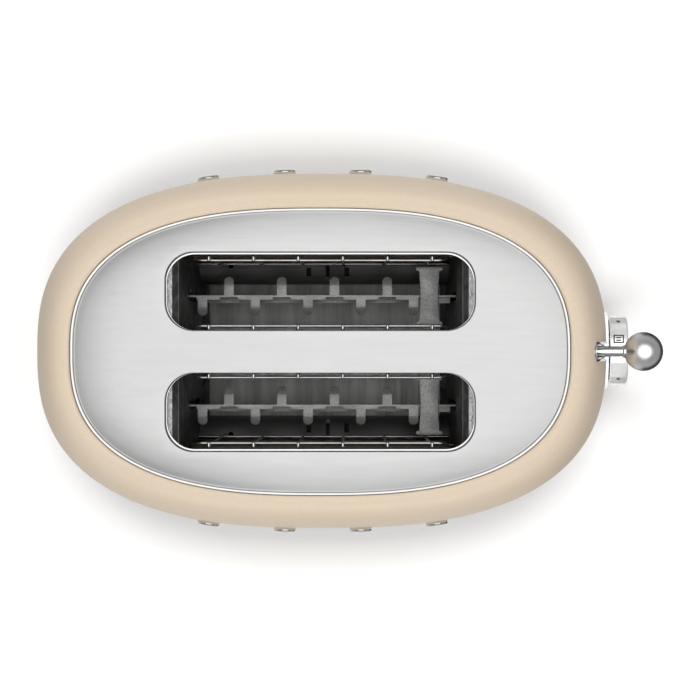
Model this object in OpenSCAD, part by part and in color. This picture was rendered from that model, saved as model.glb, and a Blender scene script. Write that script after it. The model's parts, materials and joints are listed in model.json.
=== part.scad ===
// Two-slot pop-up toaster in a leaning oval steel shell, lever and browning dial on the +X end.
// Frame: Z up from the table, X along the bread slots, origin under the middle of the whole envelope.
// "Left" is +Y and "right" is -Y, as seen from the rear end (-X) looking at the lever end.

/* [Body] */
// Length of the shell at its hem
body_l = 308; // [307:1:310]
// Width of the shell at its hem
body_w = 195; // [194:1:197]
// Height of the rim crest above the table
body_h = 198; // [197:0.5:199]
// Height of the hem, where the shell is widest
hem_z = 22; // [21.5:0.5:22.5]
// Length of the mouth that frames the top plate
mouth_l = 242; // [241:1:244]
// Width of the mouth
mouth_w = 139; // [138.5:0.5:141]
// Squareness of every oval, where 2 is an ellipse
oval_power = 2.6; // [2.5:0.05:2.7]
// Squareness of the shoulder, where 2 is an ellipse
shoulder_power = 2.5; // [2.3:0.1:2.7]
// Share of the wall's lean that is a straight taper
lean_share = 0.2; // [0.15:0.05:0.25]
// Thickness of the shell's sheet
shell_t = 1.2; // [1:0.1:1.4]

/* [Bread slots] */
// Length of a slot in the top plate
slot_l = 150; // [147:1:150]
// Width of a slot in the top plate
slot_w = 38; // [37.6:0.2:39]
// Radius of a slot's corners
slot_r = 13.8; // [13:0.2:18]
// Distance between the middles of the two slots
slot_pitch = 58.5; // [58.3:0.1:58.8]

/* [Carriage] */
// Height of the bread rails when the bread is up
rail_z = 116; // [115.5:0.5:116.5]
// Travel of the lever from up to latched
travel = 62; // [60:1:63]
// Reach of a rail's fingers to each side
finger_reach = 10.6; // [9:0.2:11.4]
// Distance from one finger to the next
finger_pitch = 13.83; // [13.6:0.01:14]

/* [Lever and dial] */
// Height of the lever when it is up
lever_z = 166; // [165:1:167]
// Diameter of the lever's rod
rod_d = 5.2; // [4.6:0.1:5.2]
// Diameter of the lever's ball
ball_d = 19.4; // [18:0.2:20]
// Distance from the body's middle to the ball's middle
ball_x = 160.6; // [160:0.2:162]
// Diameter of the browning dial
dial_d = 38.4; // [36:0.4:39.2]
// Height of the dial's axis where it meets the wall
dial_z = 70; // [69:0.5:71]
// Angle by which the dial's axis points above level
dial_tilt = 5; // [4:0.5:6]

/* [Base] */
// Height of the rubber feet
foot_h = 6; // [5.6:0.1:6.4]
// Diameter of a rubber foot
foot_d = 20; // [18:1:22]

/* [Hidden] */
$fn = 48;

oval_steps = 72;
shoulder_rings = 14;
gap = 0.2; // clearance between nested covers
run = 0.05; // radial clearance of a shaft in its hole
envelope_shift = (ball_x + ball_d / 2 - body_l / 2) / 2;
places = ["outer_left", "inner_left", "inner_right", "outer_right"];

// Heights of the covers
shell_bottom_z = 18;
flange_drop = 7;
deck_z = 194.5;
deck_t = 1;
lip_drop = 6.2;
base_t = 2.5;
base_wall_top = hem_z - 1;
chassis_z = 22;
chassis_t = 1.2;
chassis_top = chassis_z + chassis_t;

// Half axes of the base, inside the hem
band_a = body_l / 2 - 4.5;
band_b = body_w / 2 - 4.5;
band_t = 1.2;
plate_a = band_a - band_t - gap;
plate_b = band_b - band_t - gap;
base_wall = 2;

// The toasting chamber, between two bulkheads
chamber_x = 69.5;
sheet = 1;
bulkhead_w = 116;
slot_y = slot_pitch / 2;
rack_y = slot_y - 0.6; // the racks stand a little closer together than the slots
wire_r = 0.8;
guard_off = 17.5; // upright wires, from the rack's middle plane
guard_step = 1.4; // cross wires sit this far before or behind the uprights
hook_l = 1.6; // the uprights' tops turn over the upper cross wire by this much
guard_top = 187;
pivot_z = 64;
guard_pitch = 21.8;
ribbon_off = 20.75;
card_off = 21.15;
card_t = 0.6;
card_z = [62, 178];
card_tabs = [90, 150];
tab_h = 10;
deflector_x = 2;

// The carriage and what guides it
web_t = 1;
web_h = 10;
rail_front = 76;
guide_x = 84;
guide_y = 16;
guide_r = 2.5;
bush_r = 5;
bridge_z = rail_z - 12;
bridge_h = 16;
saddle_x = 55.9;
first_finger = -62.9;

// The lever's slot in the end wall
trim_r = 4.9;
slot_trim_w = 2;
slot_top = 185.2;
slot_foot = lever_z - travel - 3.5;

// Electronics
board_z = 28;
board_t = 1.6;
magnet_x = 108;
magnet_top = 46;

// The tray that slides out at the rear end
tray_z = 10;
tray_h = 6.5;
tray_half_w = 43;
tray_front = 76;

// ---------- functions ----------

function sgn(v) = v < 0 ? -1 : 1;
function oval_point(a, b, angle) = [
    a * sgn(cos(angle)) * pow(abs(cos(angle)), 2 / oval_power),
    b * sgn(sin(angle)) * pow(abs(sin(angle)), 2 / oval_power)];
function oval(a, b) = [for (i = [0:oval_steps - 1]) oval_point(a, b, 360 * i / oval_steps)];
function oval_at(a, b, z) = [for (p = oval(a, b)) [p[0], p[1], z]];

// How far the wall has leant in at height z, from 0 at the hem to 1 at the crest
function lean_at(z) = let (t = (z - hem_z) / (body_h - hem_z))
    (1 - lean_share) * (1 - pow(1 - pow(t, shoulder_power), 1 / shoulder_power)) + lean_share * t;
function wall_x(z) = body_l / 2 - (body_l / 2 - crest_a) * lean_at(z);
function wall_y(z) = body_w / 2 - (body_w / 2 - crest_b) * lean_at(z);
function wall_slope(z) = wall_x(z + 0.5) - wall_x(z - 0.5);
// A point on the end wall's middle line, moved out by d along the wall's normal
function wall_point(z, d) = let (s = wall_slope(z), n = sqrt(1 + s * s))
    [wall_x(z) + d / n, z - s * d / n];

crest_a = mouth_l / 2 + shell_t + gap;
crest_b = mouth_w / 2 + shell_t + gap;

// One oval of the shoulder, drawn in by d from the outer face
function shoulder_ring(angle, d) =
    let (t = pow(sin(angle), 2 / shoulder_power),
         s = (1 - lean_share) * (1 - pow(cos(angle), 2 / shoulder_power)) + lean_share * t,
         a = body_l / 2 - d,
         b = body_w / 2 - d)
    oval_at(a - (a - crest_a) * s, b - (b - crest_b) * s, hem_z + (body_h - d - hem_z) * t);

function unit(v) = v / norm(v);
function path_tangent(path, i) =
    unit(path[min(i + 1, len(path) - 1)] - path[max(i - 1, 0)]);
function tube_ring(path, i, r, sides, up) =
    let (t = path_tangent(path, i), u = unit(cross(t, up)), v = cross(t, u))
    [for (k = [0:sides - 1]) path[i] + r * (cos(360 * k / sides) * u + sin(360 * k / sides) * v)];
function helix(r, pitch_angle, turns, height) =
    [for (a = [0:pitch_angle:360 * turns])
        [r * cos(a), r * sin(a), height * a / (360 * turns)]];

// ---------- shared shapes ----------

module in_frame() {
    translate([-envelope_shift, 0, 0]) children();
}

module mirrored_if(flag) {
    if (flag) mirror([0, 1, 0]) children();
    else children();
}

// Extrudes a shape drawn in (Y, Z) along X
module along_x(x0, x1) {
    translate([x0, 0, 0]) rotate([90, 0, 90]) linear_extrude(x1 - x0) children();
}

// Extrudes a shape drawn in (X, Z) along Y, centred on the middle plane
module along_y(width) {
    rotate([90, 0, 0]) linear_extrude(width, center = true) children();
}

module rod_x(x0, x1, y, z, r) {
    translate([x0, y, z]) rotate([0, 90, 0]) cylinder(r = r, h = x1 - x0);
}

module block(x, y, z) {
    translate([x[0], y[0], z[0]]) cube([x[1] - x[0], y[1] - y[0], z[1] - z[0]]);
}

module oval_slab(a, b, z0, z1) {
    translate([0, 0, z0]) linear_extrude(z1 - z0) polygon(oval(a, b));
}

module oval_hoop(a, b, inner_a, inner_b, z0, z1) {
    difference() {
        oval_slab(a, b, z0, z1);
        oval_slab(inner_a, inner_b, z0 - 1, z1 + 1);
    }
}

module rounded_outline(l, w, r) {
    square([l - 2 * r, w], center = true);
    square([l, w - 2 * r], center = true);
    for (x = [-1, 1], y = [-1, 1]) translate([x * (l / 2 - r), y * (w / 2 - r)]) circle(r);
}

// A closed ring of ovals, given outside upwards and inside downwards
module skin(rings, closed_ends = false) {
    n = len(rings[0]);
    m = len(rings);
    last = closed_ends ? m - 2 : m - 1;
    sides = [for (i = [0:last], k = [0:n - 1]) each let (
        a = i * n + k, b = i * n + (k + 1) % n,
        c = ((i + 1) % m) * n + (k + 1) % n, d = ((i + 1) % m) * n + k)
        [[a, c, b], [a, d, c]]];
    caps = closed_ends ? [[for (k = [0:n - 1]) k], [for (k = [n - 1:-1:0]) (m - 1) * n + k]] : [];
    polyhedron([for (ring = rings) each ring], concat(sides, caps));
}

module tube(path, r, sides, up) {
    skin([for (i = [0:len(path) - 1]) tube_ring(path, i, r, sides, up)], true);
}

// A stadium standing upright in (Y, Z)
module upright_stadium(r, z0, z1) {
    translate([0, z0]) circle(r);
    translate([0, z1]) circle(r);
    translate([-r, z0]) square([2 * r, z1 - z0]);
}

// ---------- covers ----------

module body_shell() color("burlywood") in_frame() {
    steps = [for (i = [0:shoulder_rings]) 90 * i / shoulder_rings];
    a = mouth_l / 2;
    b = mouth_w / 2;
    outside = concat(
        [oval_at(body_l / 2 - 0.8, body_w / 2 - 0.8, shell_bottom_z),
            oval_at(body_l / 2 - 0.2, body_w / 2 - 0.2, (shell_bottom_z + hem_z) / 2)],
        [for (angle = steps) shoulder_ring(angle, 0)]);
    flange = [
        oval_at(a + 0.4, b + 0.4, body_h - 0.4),
        oval_at(a, b, body_h - 1.4),
        oval_at(a, b, body_h - flange_drop),
        oval_at(a + shell_t, b + shell_t, body_h - flange_drop)];
    inside = concat(
        [for (i = [shoulder_rings:-1:0]) shoulder_ring(steps[i], shell_t)],
        [oval_at(body_l / 2 - shell_t - 0.8, body_w / 2 - shell_t - 0.8, shell_bottom_z)]);
    difference() {
        skin(concat(outside, flange, inside));
        along_x(124, 180) upright_stadium(trim_r + run, slot_foot, slot_top);
        on_dial() translate([0, 0, -20]) cylinder(r = dial_bezel_r + run, h = 40);
    }
}

module top_plate() color("silver") in_frame() {
    difference() {
        union() {
            oval_slab(mouth_l / 2 - 1.6, mouth_w / 2 - 1.6, deck_z - deck_t, deck_z);
            for (y = [-slot_y, slot_y])
                translate([0, y, deck_z - deck_t - lip_drop])
                    linear_extrude(lip_drop + deck_t / 2)
                        rounded_outline(slot_l + 2, slot_w + 2, slot_r + 1);
        }
        for (y = [-slot_y, slot_y])
            translate([0, y, deck_z - 10]) linear_extrude(20)
                rounded_outline(slot_l, slot_w, slot_r);
    }
}

// A bead round the top plate, with a ledge that carries it
module top_trim_ring() color("whitesmoke") in_frame() {
    a = mouth_l / 2 - gap;
    b = mouth_w / 2 - gap;
    oval_hoop(a, b, a - 1.2, b - 1.2, deck_z - deck_t - 2.5, deck_z + 1.5);
    oval_hoop(a - 1, b - 1, a - 4, b - 4, deck_z - deck_t - 2.5, deck_z - deck_t);
}

module base_band() color("lightgray") in_frame() {
    difference() {
        oval_hoop(band_a, band_b, band_a - band_t, band_b - band_t, foot_h + 1, base_wall_top - 2.2);
        block([-160, -100], [-45.5, 45.5], [9.4, 17.4]);
    }
}

module base_plate() color("dimgray") in_frame() {
    boss_xy = [[-66, 50], [-66, -50], [84, 50], [84, -50]];
    post_xy = [[100, 33], [100, -33], [135, 27], [135, -27]];
    difference() {
        union() {
            oval_slab(plate_a, plate_b, foot_h, foot_h + base_t);
            oval_hoop(plate_a, plate_b, plate_a - base_wall, plate_b - base_wall,
                foot_h + base_t, base_wall_top);
            oval_hoop(body_l / 2 - 2.4, body_w / 2 - 2.4, plate_a - base_wall,
                plate_b - base_wall, base_wall_top - 2, base_wall_top);
            for (p = boss_xy) translate([p[0], p[1], foot_h + base_t / 2])
                cylinder(r = 4.5, h = chassis_z - foot_h - base_t / 2);
            for (p = post_xy) translate([p[0], p[1], foot_h + base_t / 2])
                cylinder(r = 3.5, h = board_z - foot_h - base_t / 2);
            for (y = [-38, 38])
                block([-140, tray_front], [y - 1, y + 1], [foot_h + base_t / 2, tray_z]);
        }
        for (p = boss_xy) translate([p[0], p[1], 0]) cylinder(r = 1.7 + run, h = 30);
        each_foot() cylinder(r = 4 + run, h = 20);
        block([-160, -130], [-45, 45], [9.4, 17.4]);
        translate([gland_x, gland_y, 0]) cylinder(r = 8 + run, h = 20);
        for (x = [-50:11:50], side = [-1, 1])
            block([x - 2, x + 2], [side * 68 - 11, side * 68 + 11], [0, 12]);
    }
}

gland_x = -86;
gland_y = -56;

module each_foot() {
    for (x = [-108, 112], y = [-56, 56]) translate([x, y, 0]) children();
}

module foot() {
    cylinder(r1 = foot_d / 2 - 0.8, r2 = foot_d / 2, h = 1);
    translate([0, 0, 1]) cylinder(r = foot_d / 2, h = foot_h - 1);
    cylinder(r = 4, h = foot_h + base_t);
    translate([0, 0, foot_h + base_t]) cylinder(r1 = 5.2, r2 = 3, h = 3);
}

module foot_at(x, y) color("darkslategray") in_frame() translate([x, y, 0]) foot();

module side_studs() color("gainsboro") in_frame() {
    z = 110;
    a = wall_x(z);
    b = wall_y(z);
    lean = (wall_y(z - 1) - wall_y(z + 1)) / 2 / b;
    for (side = [-1, 1], x = [-60, -20, 20, 60]) {
        y = b * pow(1 - pow(abs(x) / a, oval_power), 1 / oval_power);
        n = unit([sgn(x) * pow(abs(x) / a, oval_power - 1) / a,
            side * pow(y / b, oval_power - 1) / b, lean]);
        translate([x, side * y, z]) rotate([0, acos(n[2]), atan2(n[1], n[0])]) {
            translate([0, 0, 0.15]) cylinder(r = 6, h = 1.8);
            translate([0, 0, 1.95]) cylinder(r1 = 6, r2 = 5, h = 0.6);
        }
    }
}

// ---------- crumb tray ----------

module tray_outline(inset) {
    intersection() {
        polygon(oval(plate_a - inset, plate_b - inset));
        translate([-160 + inset, -tray_half_w + inset])
            square([160 + tray_front - 2 * inset, 2 * (tray_half_w - inset)]);
    }
}

module crumb_tray() color("slategray") in_frame() {
    difference() {
        translate([0, 0, tray_z]) linear_extrude(tray_h) tray_outline(0.4);
        translate([0, 0, tray_z + 0.8]) linear_extrude(tray_h) tray_outline(1.4);
    }
}

module tray_handle() color("lightgray") in_frame() {
    neck_a = plate_a - 0.4;
    neck_b = plate_b - 0.4;
    intersection() {
        oval_hoop(band_a + 0.2, band_b + 0.2, neck_a, neck_b, tray_z, tray_z + tray_h);
        block([-170, -100], [-tray_half_w, tray_half_w], [0, 30]);
    }
    intersection() {
        oval_hoop(band_a + 1.8, band_b + 1.8, band_a + 0.2, band_b + 0.2, 8, 18.4);
        block([-170, -100], [-48, 48], [0, 30]);
    }
    intersection() {
        oval_hoop(band_a + 4.2, band_b + 4.2, band_a + 1.8, band_b + 1.8, 8, 10.5);
        block([-170, -100], [-20, 20], [0, 30]);
    }
}

// ---------- toasting chamber ----------

module chassis_floor() color("darkgray") in_frame() {
    difference() {
        block([-74, 92], [-58, 58], [chassis_z, chassis_top]);
        block([-66, 66], [-42, 42], [chassis_z - 1, chassis_top + 1]);
        for (x = [-66, 84], y = [-50, 50])
            translate([x, y, 0]) cylinder(r = 1.7 + run, h = 40);
    }
}

// End wall of the chamber: it guides the rails, holds the cards and carries the guards' pivots
module bulkhead() {
    difference() {
        union() {
            block([chamber_x, chamber_x + sheet], [-bulkhead_w / 2, bulkhead_w / 2],
                [chassis_top, 181]);
            block([chamber_x, chamber_x + sheet], [-7, 7], [180, deck_z - deck_t]);
            for (side = [-1, 1]) {
                block([chamber_x, chamber_x + sheet], [side * 54 - 3, side * 54 + 3],
                    [180, deck_z - deck_t]);
                translate([0, side * slot_y, 0]) along_y(36)
                    polygon([[chamber_x, 180], [chamber_x + sheet, 180],
                        [chamber_x + 3.6, 185.9], [chamber_x + 6.6, 185.9],
                        [chamber_x + 6.6, 186.9], [chamber_x + 2.8, 186.9]]);
            }
        }
        for (side = [-1, 1]) {
            y = side * rack_y;
            block([60, 80], [y - 2.2, y + 2.2], [rail_z - web_h - travel - 3, rail_z + 8]);
            block([60, 80], [y - 4.4, y + 4.4], [rail_z - 6, rail_z - 3]);
            for (k = [-1, 1]) {
                rod_x(60, 80, y + k * (guard_off + guard_step), pivot_z, wire_r + run);
                for (z = card_tabs)
                    block([60, 80],
                        [y + k * (card_off + card_t / 2) - 0.4, y + k * (card_off + card_t / 2) + 0.4],
                        [z - 0.2, z + tab_h + 0.2]);
            }
        }
    }
}

module bulkhead_lever_end() color("darkgray") in_frame() bulkhead();
module bulkhead_rear_end() color("darkgray") in_frame() mirror([1, 0, 0]) bulkhead();

// Puts a piece drawn beside a slot, on the slot's outer side, at one of the four places
module at_place(i) {
    translate([0, i < 2 ? rack_y : -rack_y, 0]) mirrored_if(i % 2 == 1) children();
}

module heater_card(i) color("tan") in_frame() at_place(i) {
    y = [card_off, card_off + card_t];
    block([-67, 67], y, card_z);
    for (z = card_tabs) block([-74, 71], y, [z, z + tab_h]);
}

module heater_ribbon(i) color("gray") in_frame() at_place(i) {
    y = [ribbon_off, card_off];
    rows = 9;
    step = 11;
    for (k = [0:rows]) block([-62, 62], y, [71 + k * step, 73 + k * step]);
    for (k = [0:rows - 1]) {
        x = k % 2 == 0 ? 60 : -62;
        block([x, x + 2], y, [72 + k * step, 72 + (k + 1) * step]);
    }
}

// Two bars that join the four cards' tabs behind the rear bulkhead
module bus_bars() color("goldenrod") in_frame() {
    for (z = card_tabs) block([-75.2, -74], [-52, 52], [z + 3, z + 8]);
}

module heater_leads() color("firebrick") in_frame() {
    upper = [[-75.2, -44, 155.5], [-80, -44, 155.5], [-86, -45, 152], [-88, -46, 144], [-88, -47, 120],
        [-88, -50, 80], [-90, -54, 50], [-95, -57, 36], [-96, -58, 29], [-96, -58, 23.5]];
    lower = [[-75.2, -36, 95.5], [-79, -36, 95.5], [-83, -37, 92], [-85, -38, 84], [-86, -42, 60],
        [-88, -48, 40], [-89.5, -51, 32], [-89.5, -52, 28], [-89.5, -52, 23.5]];
    for (route = [upper, lower]) tube(route, 1.4, 8, [0.2, 1, 0.1]);
}

module outer_reflector(side) color("silver") in_frame()
    block([-chamber_x, chamber_x], [side * 54.3 - 0.3, side * 54.3 + 0.3], [60, 180]);

// Sloping sheet that turns crumbs into the tray, with a long slot between two small windows
module crumb_deflector(right) color("dimgray") in_frame() mirrored_if(right) {
    difference() {
        along_x(-chamber_x, chamber_x)
            polygon([[49, 57], [49.8, 56.5], [37.8, 37.5], [37, 38]]);
        block([deflector_x - 1.1, deflector_x + 1.1], [39, 48.2], [30, 60]);
        for (x = [-10.6, 10.6])
            block([deflector_x + x - 1.3, deflector_x + x + 1.3], [41, 46], [30, 60]);
        for (x = [-52, 56]) translate([x, 47.2, 30]) cylinder(r = 1.6, h = 30);
    }
}

module centre_ridge() color("darkgray") in_frame()
    along_x(-chamber_x, chamber_x)
        polygon([[-9, 53], [-8, 53], [0, 60], [8, 53], [9, 53], [0, 61.2]]);

// Wire guard that leans towards the bread as the carriage goes down
module bread_guard(i) color("gainsboro") in_frame() at_place(i) {
    for (k = [-2.5:1:2.5]) translate([k * guard_pitch, guard_off, 0]) {
        translate([0, 0, pivot_z - 1]) cylinder(r = wire_r, h = guard_top - pivot_z + 1 - wire_r);
        translate([0, 0, guard_top - wire_r]) {
            sphere(wire_r);
            rotate([90, 0, 0]) cylinder(r = wire_r, h = hook_l);
        }
    }
    rod_x(-62.5, 62.5, guard_off - guard_step, guard_top - 4, wire_r);
    rod_x(-58, 58, guard_off + guard_step, 128, wire_r);
    rod_x(-chamber_x - 2.2, chamber_x + 2.2, guard_off + guard_step, pivot_z, wire_r);
}

// ---------- carriage ----------

module finger() {
    root = 6.2;
    half_w = 2.5;
    block([-half_w, half_w], [0, root], [-1, 0]);
    translate([0, root, 0]) rotate([-25, 0, 0]) {
        block([-half_w, half_w], [-0.4, finger_reach - root - half_w], [-1, 0]);
        translate([0, finger_reach - root - half_w, -1]) cylinder(r = half_w, h = 1);
    }
}

// One bent strip: an upright web, fingers to both sides in turn, and a stiffening foot
module bread_rail(side) color("gray") in_frame() translate([0, side * rack_y, rail_z]) {
    block([-72.5, rail_front], [-web_t / 2, web_t / 2], [-web_h, 0]);
    block([-66, 50], [-3.4, -web_t / 2], [-web_h, -web_h + 1]);
    block([61, 67], [-3.6, 0], [-web_h / 2, 1 - web_h / 2]);
    for (k = [0:8]) translate([first_finger + k * finger_pitch, 0, 0]) {
        mirrored_if(k % 2 == 0) finger();
        if (k % 2 == 0) block([k == 0 ? -3 : -9.2, k == 8 ? 2.6 : 9.2], [-1.9, 0], [-1, 0]);
    }
}

// Cross strap with T-shaped ends that steadies the rail between its two guards
module rail_saddle(side) color("darkgray") in_frame()
    translate([saddle_x, side * rack_y, rail_z]) linear_extrude(1) {
        difference() {
            square([10.4, 29], center = true);
            for (x = [-1, 1]) translate([x * 84.6, 0]) circle(80);
        }
        for (end = [-1, 1]) {
            translate([0, end * 14.3]) square([11.8, 2.2], center = true);
            for (x = [-5.9, 5.9]) translate([x, end * 14.3]) circle(1.1);
        }
    }

module carriage_bridge() color("slategray") in_frame() {
    z = [bridge_z, bridge_z + bridge_h];
    difference() {
        union() {
            block([rail_front, rail_front + 2], [-36, 36], z);
            for (y = [-guide_y, guide_y]) {
                block([rail_front + 1, guide_x], [y - 4, y + 4], z);
                translate([guide_x, y, bridge_z]) cylinder(r = bush_r, h = bridge_h);
            }
        }
        for (y = [-guide_y, guide_y])
            translate([guide_x, y, bridge_z - 1]) cylinder(r = guide_r + run, h = bridge_h + 2);
    }
}

module lever_arm() color("silver") in_frame() {
    block([rail_front + 2, rail_front + 4], [-7, 7], [bridge_z, lever_z + 6]);
    rod_x(rail_front + 3, ball_x - 4, 0, lever_z, rod_d / 2);
}

module lever_ball() color("silver") in_frame() difference() {
    translate([ball_x, 0, lever_z]) sphere(d = ball_d);
    rod_x(ball_x - ball_d, ball_x - 4, 0, lever_z, rod_d / 2 + run);
}

module armature_plate() color("dimgray") in_frame() {
    z = magnet_top + 0.1 + travel;
    block([rail_front + 4, magnet_x + 10], [-6, 6], [z, z + 2]);
}

module guide_rods() color("silver") in_frame()
    for (y = [-guide_y, guide_y])
        translate([guide_x, y, chassis_top]) cylinder(r = guide_r, h = 184 - chassis_top);

module guide_top_bracket() color("darkgray") in_frame()
    for (part = [[chamber_x + sheet, guide_x, 6], [chamber_x + 4.5, guide_x + 7, 22]])
        block([part[0], part[1]], [-part[2], part[2]], [184, 185.6]);

module lift_spring(side) color("gray") in_frame()
    translate([guide_x, side * guide_y, chassis_top + 0.6])
        tube(helix(3.8, 30, 10, bridge_z - chassis_top - 1.2), 0.5, 6, [0, 0, 1]);

// ---------- lever slot and dial ----------

module lever_slot_trim() color("whitesmoke") in_frame() {
    low = slot_foot - 6;
    high = slot_top + 6.5;
    heights = [for (k = [0:28]) low + (high - low) * k / 28];
    difference() {
        intersection() {
            along_y(2 * trim_r)
                polygon(concat([for (z = heights) wall_point(z, 0.7)],
                    [for (k = [28:-1:0]) wall_point(heights[k], -1.4)]));
            along_x(120, 180) upright_stadium(trim_r, slot_foot, slot_top);
        }
        along_x(110, 190) upright_stadium(trim_r - slot_trim_w, slot_foot, slot_top);
    }
}

dial_bezel_r = 21.5;
rotor_r = 4.65;
stem_r = 3;
push_travel = 0.5;

// Local Z runs out along the dial's axis, from where it leaves the wall
module on_dial() {
    translate([wall_x(dial_z), 0, dial_z]) rotate([0, 90 - dial_tilt, 0]) children();
}

module dial_tube(z0, z1, r, bore) {
    translate([0, 0, z0]) difference() {
        cylinder(r = r, h = z1 - z0);
        translate([0, 0, -1]) cylinder(r = bore, h = z1 - z0 + 2);
    }
}

module dial_bezel() color("whitesmoke") in_frame() on_dial() {
    dial_tube(-6, 1.3, dial_bezel_r, 17);
    dial_tube(-7.5, -6, dial_bezel_r, rotor_r + run);
}

module dial_light_ring() color("white") in_frame() on_dial()
    dial_tube(1.3, 3.4, dial_bezel_r - 0.3, 12);

module dial_knob() color("silver") in_frame() on_dial() difference() {
    union() {
        dial_tube(4.2, 12, dial_d / 2, dial_d / 2 - 2.5);
        translate([0, 0, 11.5]) cylinder(r = dial_d / 2, h = 2.5);
        translate([0, 0, 4.2]) cylinder(r = 5.5, h = 8);
    }
    translate([0, 0, 3]) cylinder(r = stem_r, h = 7.5);
}

module dial_stem() color("gray") in_frame() on_dial()
    translate([0, 0, -12.2]) cylinder(r = stem_r, h = 22.7);

module dial_rotor() color("whitesmoke") in_frame() on_dial()
    dial_tube(-8.9, 0, rotor_r, stem_r + run);

module dial_encoder() color("darkgreen") in_frame() on_dial() {
    difference() {
        union() {
            translate([-7, -7, -14]) cube([14, 14, 4.9]);
            translate([0, 0, -9.2]) cylinder(r = 7, h = 1.7);
            translate([-16, -13, -15.6]) cube([32, 26, 1.7]);
        }
        translate([0, 0, -9]) cylinder(r = rotor_r + run, h = 5);
        translate([0, 0, -12.2 - push_travel - 0.2]) cylinder(r = stem_r + run, h = 8);
    }
}

// ---------- electrics ----------

module control_board() color("seagreen") in_frame() difference() {
    block([95, 140], [-38, 38], [board_z, board_z + board_t]);
    for (side = [-1, 1]) translate([150, side * 48, 0]) rotate([0, 0, 45])
        block([-16, 16], [-16, 16], [0, 60]);
}

module board_components() color("navy") in_frame() {
    z = board_z + board_t;
    block([98, 114], [20, 32], [z, z + 14]);
    translate([126, 22, z]) cylinder(r = 5, h = 13);
    block([120, 134], [-8, 8], [z, z + 4]);
    block([98, 116], [-34, -20], [z, z + 10]);
    for (y = [-26, -18]) translate([126, y, z]) cylinder(r = 2.5, h = 8);
}

module electromagnet() color("peru") in_frame() {
    z = board_z + board_t;
    translate([magnet_x, 0, z]) cylinder(r = 9, h = 2);
    translate([magnet_x, 0, z + 1]) cylinder(r = 4, h = magnet_top - z - 1);
    translate([magnet_x, 0, z + 3]) cylinder(r = 8, h = 11);
    translate([magnet_x, 0, z + 14]) cylinder(r = 9, h = 1);
}

module terminal_block() color("ivory") in_frame() {
    z = foot_h + base_t;
    difference() {
        block([-102, -84], [-63.5, -47], [z + 2, 23.5]);
        for (x = [-96, -89.5]) translate([x, -61, 18]) rotate([-90, 0, 0]) cylinder(r = 1.6, h = 8);
    }
    block([-102, -97], [-63.5, -47], [z, z + 3]);
}

module cord_gland() color("darkslategray") in_frame()
    translate([gland_x, gland_y, 0]) difference() {
        union() {
            translate([0, 0, 3]) cylinder(r1 = 6.6, r2 = 8, h = 3);
            translate([0, 0, foot_h]) cylinder(r = 8, h = base_t);
        }
        cylinder(r = 3.7, h = 20);
    }

module cord_wrap_hooks() color("dimgray") in_frame()
    for (x = [-44, 44]) translate([x, 0, 0]) {
        translate([0, 0, 2]) cylinder(r = 6, h = foot_h - 2);
        translate([0, 0, 1.2]) linear_extrude(1.6) rounded_outline(12, 30, 5);
    }

module base_screws() color("silver") in_frame()
    for (x = [-66, 84], y = [-50, 50]) translate([x, y, 0]) {
        difference() {
            translate([0, 0, foot_h - 1.8]) cylinder(r = 3.5, h = 1.8);
            block([-2.6, 2.6], [-0.5, 0.5], [foot_h - 3, foot_h - 1]);
            block([-0.5, 0.5], [-2.6, 2.6], [foot_h - 3, foot_h - 1]);
        }
        translate([0, 0, foot_h]) cylinder(r = 1.7, h = chassis_top - foot_h);
        translate([0, 0, chassis_top]) cylinder(r = 3.2, h = 2.4, $fn = 6);
    }

// ---------- nodes ----------

body_shell();
top_plate();
top_trim_ring();
base_band();
base_plate();
foot_at(112, 56);  // foot_front_left
foot_at(112, -56);  // foot_front_right
foot_at(-108, 56);  // foot_rear_left
foot_at(-108, -56);  // foot_rear_right
crumb_tray();
tray_handle();
chassis_floor();
bulkhead_lever_end();
bulkhead_rear_end();
for (i = [0:3]) heater_card(i);
for (i = [0:3]) heater_ribbon(i);
for (i = [0:3]) bread_guard(i);
bus_bars();
heater_leads();
outer_reflector(1);  // outer_reflector_left
outer_reflector(-1);  // outer_reflector_right
crumb_deflector(false);  // crumb_deflector_left
crumb_deflector(true);  // crumb_deflector_right
centre_ridge();
bread_rail(1);  // bread_rail_left
bread_rail(-1);  // bread_rail_right
rail_saddle(1);  // rail_saddle_left
rail_saddle(-1);  // rail_saddle_right
carriage_bridge();
lever_arm();
lever_ball();
armature_plate();
guide_rods();
guide_top_bracket();
lift_spring(1);  // lift_spring_left
lift_spring(-1);  // lift_spring_right
lever_slot_trim();
dial_bezel();
dial_light_ring();
dial_knob();
dial_stem();
dial_rotor();
dial_encoder();
control_board();
board_components();
electromagnet();
terminal_block();
cord_gland();
cord_wrap_hooks();
base_screws();
side_studs();
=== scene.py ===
"""Looks for the two-slot toaster: smooth formed pieces, procedural finishes, studio light and camera."""

import json
import math

import bmesh
import bpy
import numpy as np
from mathutils import Matrix, Vector
from mathutils.geometry import delaunay_2d_cdt


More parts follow.
